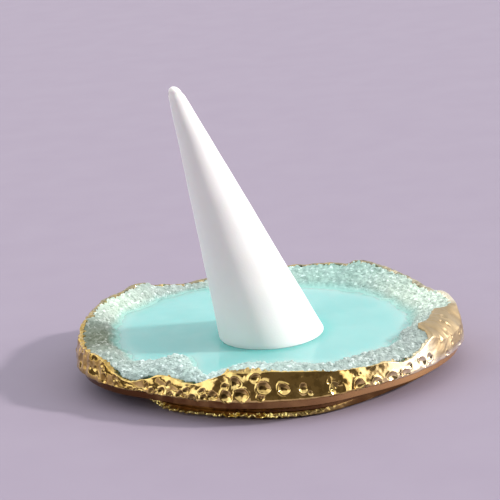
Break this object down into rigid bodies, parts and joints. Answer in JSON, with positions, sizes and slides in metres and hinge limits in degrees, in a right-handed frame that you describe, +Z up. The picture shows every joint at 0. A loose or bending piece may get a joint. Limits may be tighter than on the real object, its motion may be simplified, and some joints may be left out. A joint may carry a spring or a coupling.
{
  "type": "ring holder dish",
  "caption": "Low geode slice dish of cast aqua resin with a hammered gilt rim, a crystal crust round the edge and a leaning white cone that rings drop over.",
  "frame": {"origin": "centre of the bounding box on the plane that the bumpers stand on", "axes": "+Z up, +X to the dish's right and -Y to its front, as the picture shows it; the cone leans towards -X"},
  "size_m": [0.095, 0.0866, 0.0715],
  "materials": {
    "aqua_resin": "cast epoxy resin, opaque aqua, polished flat",
    "gilt": "resin edge under bright gold leaf, hammered on the rim and smooth below it",
    "druzy": "crust of clear resin over crystal chips, faceted and sparkling",
    "white_ceramic": "unglazed, fine matt white",
    "clear_adhesive": "clear cured adhesive",
    "clear_rubber": "clear soft bumper"
  },
  "bodies": {
    "root": {"resin_slab": "aqua_resin", "gilt_rim": "gilt", "gilt_skirt": "gilt", "druzy_right": "druzy", "druzy_back_right": "druzy", "druzy_back": "druzy", "druzy_back_left": "druzy", "druzy_left": "druzy", "druzy_left_front": "druzy", "druzy_front_mound": "druzy", "druzy_front": "druzy", "druzy_front_right": "druzy", "druzy_right_front": "druzy", "ring_cone": "white_ceramic", "cone_bond": "clear_adhesive", "bumper_1": "clear_rubber", "bumper_2": "clear_rubber", "bumper_3": "clear_rubber", "bumper_4": "clear_rubber"}
  },
  "joints": []
}
